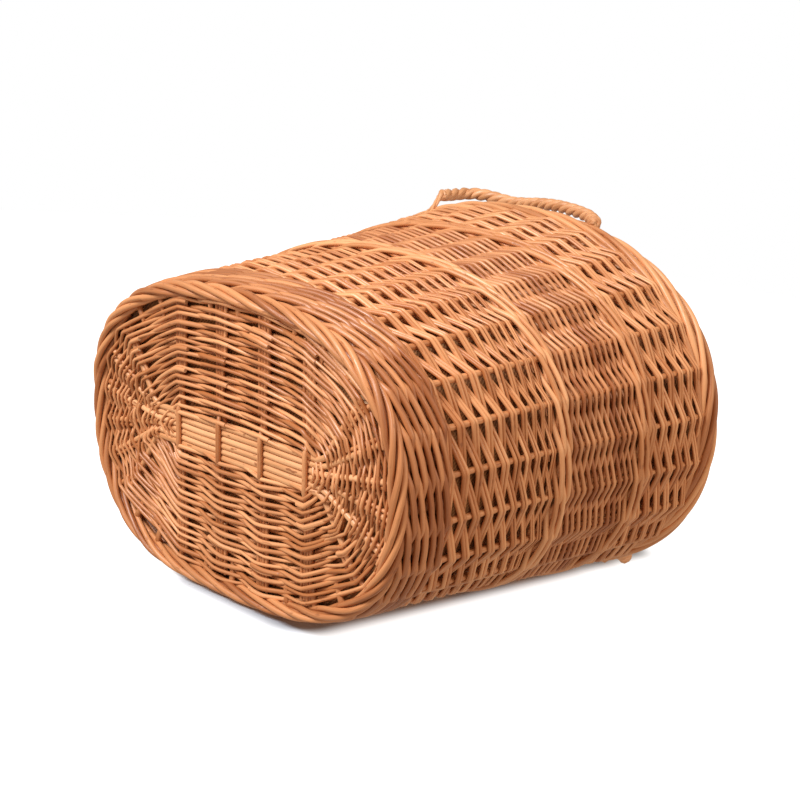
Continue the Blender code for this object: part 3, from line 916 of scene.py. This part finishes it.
def clothFinish():
    finish, tree, shader = newFinish("liningCloth")
    run = addNode(tree, "Attribute", {}, attribute_name="clothRun").outputs["Vector"]
    weave = addNode(tree, "TexWave", {"Vector": run, "Scale": liningPlan["threads"],
                                      "Distortion": 1.2, "Detail": 1.0},
                    bands_direction="DIAGONAL").outputs["Fac"]
    fuzz = noiseFrom(tree, run, liningPlan["fuzz"], Detail=3.0)
    mixed = mixValues(tree, liningPlan["fuzzShare"], weave, fuzz)
    ramp = addNode(tree, "ValToRGB", {"Fac": mixed})
    for element, key in zip(ramp.color_ramp.elements, ("dark", "pale")):
        element.position, element.color = liningPlan[key]
    patches = noiseFrom(tree, run, liningPlan["patches"])
    colour = mixColours(tree, patches, ramp.outputs["Color"], liningPlan["aged"], "MULTIPLY")
    bump = addNode(tree, "Bump", {"Distance": liningPlan["relief"], "Strength": 0.6,
                                  "Height": mixed})
    feed(tree, shader, {"Base Color": colour, "Normal": bump.outputs["Normal"],
                        "Roughness": 0.95, "Specular IOR Level": 0.15, "Sheen Weight": 0.15})
    return finish


def hangLining():
    plan = liningPlan
    around, upwards, across = (plan[key] for key in ("around", "upwards", "across"))
    bpy.ops.object.select_all(action="DESELECT")
    bpy.ops.mesh.primitive_grid_add(x_subdivisions=around, y_subdivisions=upwards + across,
                                    size=1.0)
    piece = bpy.context.active_object
    piece.name = "liningBag"
    mesh = piece.data
    mesh.name = "liningBag"
    co = np.empty(len(mesh.vertices) * 3, np.float32)
    mesh.vertices.foreach_get("co", co)
    co = co.reshape(-1, 3).astype(float)
    share = co[:, 0] + 0.5
    step = np.rint((co[:, 1] + 0.5) * (upwards + across)).astype(int)
    rise = np.clip((step - across) / upwards, 0, 1)
    inward = np.clip((across - step) / across, 0, 1)
    height = plan["bottom"] + rise * (plan["top"] - plan["bottom"])
    depth, times, lean = plan["folds"]
    folds = depth * np.sin(share * math.tau * times + lean * rise) * np.sin(rise * math.pi)
    depth, times, lean = plan["waves"]
    folds += depth * np.sin(share * math.tau * times + lean * rise)
    hem = plan["hem"] * np.clip((height - plan["hemFrom"])
                                      / plan["hemSpan"], 0, 1)
    flat, _ = onWall(share, height, plan["inset"] + plan["clear"] + hem - folds)
    flat = flat * (1 - inward)[:, None]
    depth, alongX, alongY = plan["sag"]
    sag = depth * np.sin(flat[:, 0] * alongX) * np.sin(flat[:, 1] * alongY) * (inward > 0)
    placed = np.column_stack([flat, height + sag])
    mesh.vertices.foreach_set("co", placed.astype(np.float32).ravel())
    girth, tall = plan["cloth"]
    addVectors(mesh, "clothRun",
               np.column_stack([share * girth * (rise > 0) + flat[:, 0] * (rise == 0),
                                rise * tall + flat[:, 1] * (rise == 0), np.zeros(len(share))]))
    bpy.ops.object.mode_set(mode="EDIT")
    bpy.ops.mesh.select_all(action="SELECT")
    bpy.ops.mesh.remove_doubles(threshold=rodPlan["weld"])
    bpy.ops.mesh.normals_make_consistent(inside=False)
    bpy.ops.object.mode_set(mode="OBJECT")
    solid = piece.modifiers.new("thickness", "SOLIDIFY")
    solid.thickness = plan["thickness"]
    solid.offset = 0.0
    bpy.ops.object.modifier_apply(modifier="thickness")
    bpy.ops.object.shade_smooth()
    mesh.materials.append(clothFinish())
    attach(piece, "root")
    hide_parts("lining")
    print("stage: lining", len(piece.data.polygons), "faces")


hangLining()

# Handles: a rope of rods twisted round a bow
handlePlan = {
    "span": 0.1720, "shift": 0.0100, "rise": 0.0443, "legDrop": 0.0130, "radius": 0.0055,
    "clear": 0.0003,
    "bow": [(-1.01, -0.10), (-1.05, 0.35), (-1.03, 0.78), (-0.87, 0.96), (-0.49, 1.00),
            (-0.12, 0.86), (0.23, 0.68), (0.60, 0.45), (0.81, 0.20), (0.95, -0.15)],
    "sag": [0.0, 0.0, 0.0, 0.0003, 0.0036, 0.0008, -0.0008, 0.0008, 0.0028, 0.0040],
    "feet": (-0.965, 1.0), "rimTop": 0.31533, "borderLevel": 0.30583, "borderLow": 0.29633,
    "tries": 12, "smooth": 14, "step": 0.0022, "coreRadius": 0.0015,
    "strands": 3, "strandRadius": 0.0030, "coil": 0.0026, "pitch": 0.031, "waver": (0.05, 0.05),
    "legTop": -0.001, "legThin": 0.45, "legTuck": (0.0085, 0.0115), "tuckSpan": 0.014,
    "thinFrom": -0.003, "thinSpan": 0.005,
    # share of the rope from and to, pitch, radius of the coil
    "wraps": ((0.80, 0.90, 0.0050, 0.0029), (0.12, 0.14, 0.0045, 0.0026)),
    "wrapStep": 0.0007, "wrapRise": 0.0012, "wrapRadius": 0.0015,
    # the handle that the basket lies on is pushed in under the border
    "backIn": 0.0075, "backLegTop": 0.028, "backTuck": 0.0065, "backFoot": 0.020, "seed": 71,
}


def wallWidthAt(x, height):
    share = 0.25  # a quarter round, from which it closes in on x
    for _ in range(handlePlan["tries"]):
        flat, _ = onWall(share, height, 0.0)
        share += (flat[0] - x) / (2 * (basket["rim"][0] + basket["rim"][1]))
    flat, _ = onWall(share, height, 0.0)
    return flat[1]


def smoothPath(points, steps):
    path = []
    last = len(points) - 1
    for number in range(last):
        before, start = points[max(number - 1, 0)], points[number]
        end, after = points[number + 1], points[min(number + 2, last)]
        for step in range(steps):
            t = step / steps
            path.append((2 * start + (end - before) * t
                         + (2 * before - 5 * start + 4 * end - after) * t ** 2
                         + (3 * start - before - 3 * end + after) * t ** 3) / 2)
    path.append(points[last])
    return np.array(path)


def handleLine():
    plan = handlePlan
    half = plan["span"] / 2
    seat = plan["clear"] + plan["radius"]
    lowX = plan["bow"][-1][0] * half - plan["shift"]
    bowY = wallWidthAt(lowX, plan["borderLevel"]) + seat
    bow = [np.array([along * half - plan["shift"], bowY - sag,
                     plan["rimTop"] + plan["rise"] * lift])
           for (along, lift), sag in zip(plan["bow"], plan["sag"])]
    feet = []
    for along in plan["feet"]:
        x = along * half - plan["shift"]
        z = plan["borderLow"] - plan["legDrop"]
        feet.append(np.array([x, wallWidthAt(x, z) + plan["clear"] + seat, z]))
    return smoothPath([feet[0], *bow, feet[1]], plan["smooth"])


def resample(path, run, even):
    return np.column_stack([np.interp(even, run, path[:, axis]) for axis in range(3)])


def coilRound(line, across, upwards, radius, angle):
    points = line + across * (radius * np.cos(angle))[:, None]
    return points + upwards * (radius * np.sin(angle))[:, None]


def twistHandle(name, node, side, inwards):
    plan = handlePlan
    dice = random.Random(plan["seed"])
    line = handleLine() - np.array([0.0, inwards, 0.0])
    line = line * np.array([-side, side, 1.0])
    run = runAlong(line)
    even = np.linspace(0, run[-1], int(run[-1] / plan["step"]))
    line = resample(line, run, even)
    along = np.gradient(line, axis=0)
    along /= np.linalg.norm(along, axis=1, keepdims=True)
    across = np.cross(along, np.array([0.0, 1.0, 0.0]))
    across /= np.linalg.norm(across, axis=1, keepdims=True)
    upwards = np.cross(across, along)
    thin, hidden = plan["legThin"], float(inwards > 0)
    legTop = plan["rimTop"] + plan["legTop"] + plan["backLegTop"] * hidden
    full = thin + (1 - thin) * np.clip((line[:, 2] - legTop - plan["thinFrom"])
                                       / plan["thinSpan"], 0, 1)
    firstHalf = even < run[-1] / 2
    kept = np.clip((line[:, 2] - line[0, 2]) / plan["backFoot"], 0, 1) * firstHalf
    tuck = (np.where(firstHalf, *plan["legTuck"]) * (1 - hidden)
            + plan["backTuck"] * hidden * kept)
    line[:, 1] -= side * tuck * np.clip((legTop - line[:, 2]) / plan["tuckSpan"], 0, 1)
    rods = [(line, plan["coreRadius"] * full)]
    for strand in range(plan["strands"]):
        angle = math.tau * (even / plan["pitch"] + strand / plan["strands"])
        coil = plan["coil"] * full * (1 + wobble(even, dice, *plan["waver"]))
        rods.append((coilRound(line, across, upwards, coil, angle),
                     plan["strandRadius"] * full))
    for first, last, pitch, coil in plan["wraps"]:
        far = np.arange(first * run[-1], last * run[-1], plan["wrapStep"])
        wide = coil + plan["wrapRise"] * np.interp(far, even, full)
        points = coilRound(*(resample(path, even, far) for path in (line, across, upwards)),
                           wide, math.tau * far / pitch)
        rods.append((points, np.full(len(far), plan["wrapRadius"])))
    piece = bindRods(name, rods, willows["Handle"], dice)
    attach(piece, "root")
    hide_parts(node)


twistHandle("handleRopeFront", "handle_front", -1, 0.0)
twistHandle("handleRopeBack", "handle_back", 1, handlePlan["backIn"])

# The floor that the basket lies on in the picture, and a floor under its foot
floorPlan = {
    "colour": (0.90, 1.0, 1.14), "plain": 0.50, "speck": 0.01, "speckScale": 60.0,
    "middleLevel": 0.15, "tiltMost": 0.4, "tiltSteps": 40,
    # middle and half size of the box that keeps its shadow, and how far out the floor whitens
    "lyingSize": 6.0, "lying": ((0.005, 0.075), (0.045, 0.185), (0.021, 0.044)),
    "standingSize": 4.0, "standing": ((0.0, 0.0), (0.12, 0.07), (0.03, 0.12)),
}


def restingPlane():
    # the tilt at which a plane on the broad side touches both the foot and the handle
    flat = []
    for item in scene.objects:
        if item.type == "MESH" and item.parent is not None and not item.hide_render:
            co = np.empty(len(item.data.vertices) * 3, np.float32)
            item.data.vertices.foreach_get("co", co)
            flat.append(co.reshape(-1, 3)[::3, 1:])
    flat = np.concatenate(flat)
    low, high = 0.0, floorPlan["tiltMost"]
    for _ in range(floorPlan["tiltSteps"]):
        tilt = (low + high) / 2
        reach = flat @ np.array([math.cos(tilt), -math.sin(tilt)])
        if flat[reach.argmax(), 1] > floorPlan["middleLevel"]:
            low = tilt
        else:
            high = tilt
    return tilt, reach.max()


def floorFinish(name, middle, half, fade):
    # white to the camera away from the basket, and plain where its shadow touches
    finish, tree, shader = newFinish(name)
    place = addNode(tree, "TexCoord", {}).outputs["Object"]
    tints = [tuple(floorPlan["plain"] * (part + more) for part in floorPlan["colour"])
             for more in (0.0, floorPlan["speck"])]
    speck = noiseFrom(tree, place, floorPlan["speckScale"])
    tint = mixColours(tree, speck, *((*tint, 1) for tint in tints))
    away = place
    for operation, value in (("SUBTRACT", (*middle, 0)), ("ABSOLUTE", (0, 0, 0)),
                             ("SUBTRACT", (*half, 0)), ("MAXIMUM", (0, 0, 0))):
        away = addNode(tree, "VectorMath", {0: away, 1: value},
                       operation=operation).outputs["Vector"]
    away = addNode(tree, "VectorMath", {0: away}, operation="LENGTH").outputs["Value"]
    white = ranged(tree, away, *fade, 0.0, 1.0, "SMOOTHSTEP")
    seen = addNode(tree, "LightPath", {}).outputs["Is Camera Ray"]
    feed(tree, shader, {"Base Color": tint, "Roughness": 0.9, "Specular IOR Level": 0.1,
                        "Emission Color": (1, 1, 1, 1),
                        "Emission Strength": maths(tree, "MULTIPLY", seen, white)})
    clear = addNode(tree, "BsdfTransparent", {}).outputs["BSDF"]
    behind = addNode(tree, "NewGeometry", {}).outputs["Backfacing"]
    # seen from below, a floor is clear
    mixed = addNode(tree, "MixShader", {0: behind, 1: shader.outputs["BSDF"], 2: clear})
    feed(tree, tree.nodes["Material Output"], {"Surface": mixed.outputs["Shader"]})
    return finish


def addFloor(name, centre, turn, size, box):
    bpy.ops.object.select_all(action="DESELECT")
    bpy.ops.mesh.primitive_plane_add(size=size, location=centre, rotation=turn)
    floor = bpy.context.active_object
    floor.name = name
    floor.data.materials.append(floorFinish(name + "Paint", *box))
    # each floor only catches shadow, and keeps no light off
    floor.visible_diffuse = floor.visible_glossy = floor.visible_shadow = False
    floor.visible_transmission = floor.visible_volume_scatter = False


tilt, distance = restingPlane()
print("stage: lying plane tilted", round(math.degrees(tilt), 2), "distance", round(distance, 4))
outwards = Vector((0, math.cos(tilt), -math.sin(tilt)))
upright = Vector((0, math.sin(tilt), math.cos(tilt)))
addFloor("lyingFloor", outwards * distance + upright * floorPlan["middleLevel"],
         (math.pi / 2 - tilt, 0, 0), floorPlan["lyingSize"], floorPlan["lying"])
addFloor("standingFloor", (0, 0, 0), (0, 0, 0), floorPlan["standingSize"],
         floorPlan["standing"])

# Lamps: the direction they stand in, distance, size, power and colour
lamps = {
    "keyLamp": ((-0.10, -1.0, -0.88), 1.8, 0.8, 34, (1.0, 1.0, 1.0)),
    "fillLamp": ((1.0, -0.5, 0.2), 2.2, 1.2, 13, (1.0, 0.86, 0.70)),
    "backLamp": ((-0.67, 0.27, 0.69), 2.0, 0.9, 30, (1.0, 0.95, 0.88)),
}
lampAim = Vector((0, 0, 0.15))


def addLamp(name, toward, distance, size, power, colour):
    data = bpy.data.lights.new(name, "AREA")
    data.shape = "DISK"
    data.size = size
    data.energy = power
    data.color = colour
    lamp = bpy.data.objects.new(name, data)
    scene.collection.objects.link(lamp)
    toward = Vector(toward).normalized()
    lamp.location = lampAim + toward * distance
    lamp.rotation_euler = (-toward).to_track_quat("-Z", "Y").to_euler()
    lamp.visible_glossy = name != "backLamp"


for lampName, values in lamps.items():
    addLamp(lampName, *values)

# World: white to the camera, and a dim warm light to the basket
worldPlan = {"light": 0.51, "colour": (1.0, 0.83, 0.68, 1)}
world = bpy.data.worlds.new("studio")
scene.world = world
world.use_nodes = True
sky = world.node_tree
seen = addNode(sky, "LightPath", {}).outputs["Is Camera Ray"]
feed(sky, sky.nodes["Background"],
     {"Color": mixColours(sky, seen, worldPlan["colour"], (1, 1, 1, 1)),
      "Strength": mixValues(sky, seen, worldPlan["light"], 1.0)})

# Camera: fitted to the photograph, with the focal length in pixels
photoView = {
    "right": Vector((0.7107662, -0.0332634, 0.7026414)),
    "down": Vector((0.2039438, 0.9657223, -0.1605843)),
    "forward": Vector((-0.6732149, 0.2574373, 0.6931867)),
    "place": Vector((0.7362125, -0.2881364, -0.5863774)),
    "focal": 1406.99, "pixels": 800, "sensor": 36.0,
}
cameraData = bpy.data.cameras.new("photoCamera")
cameraData.sensor_width = photoView["sensor"]
cameraData.lens = photoView["focal"] * photoView["sensor"] / photoView["pixels"]
cameraData.clip_start = 0.01
camera = bpy.data.objects.new("photoCamera", cameraData)
scene.collection.objects.link(camera)
turned = Matrix((photoView["right"], -photoView["down"], -photoView["forward"])).transposed()
camera.matrix_world = Matrix.Translation(photoView["place"]) @ turned.to_4x4()
scene.camera = camera
scene.view_settings.view_transform = "Standard"
print("stage: floor, lamps and camera")
